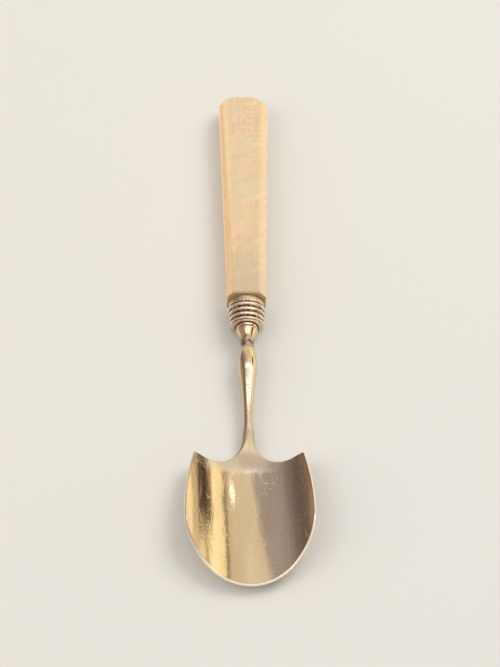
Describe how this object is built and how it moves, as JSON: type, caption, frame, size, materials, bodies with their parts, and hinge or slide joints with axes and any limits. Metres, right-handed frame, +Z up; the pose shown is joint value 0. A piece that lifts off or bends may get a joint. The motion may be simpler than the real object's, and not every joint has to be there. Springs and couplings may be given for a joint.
{
  "type": "cheese scoop",
  "caption": "Serving scoop for soft cheese: flat bevelled shell handle, reeded oval ferrule, turned baluster stem and a shovel-shaped trough blade with two pointed shoulders.",
  "frame": {"origin": "under the middle of the whole length, on the surface that the scoop lies on", "axes": "+X to the right across the blade, +Y from the blade's tip towards the handle's end, +Z up out of the blade's hollow side"},
  "size_m": [0.0366, 0.1875, 0.0089],
  "materials": {
    "shell": "polished shell",
    "silver": "polished, warm with light tarnish",
    "cement": "dull resin"
  },
  "bodies": {
    "root": {"handle": "shell", "ferrule": "silver", "scoop": "silver", "tang_cement": "cement"}
  },
  "joints": []
}
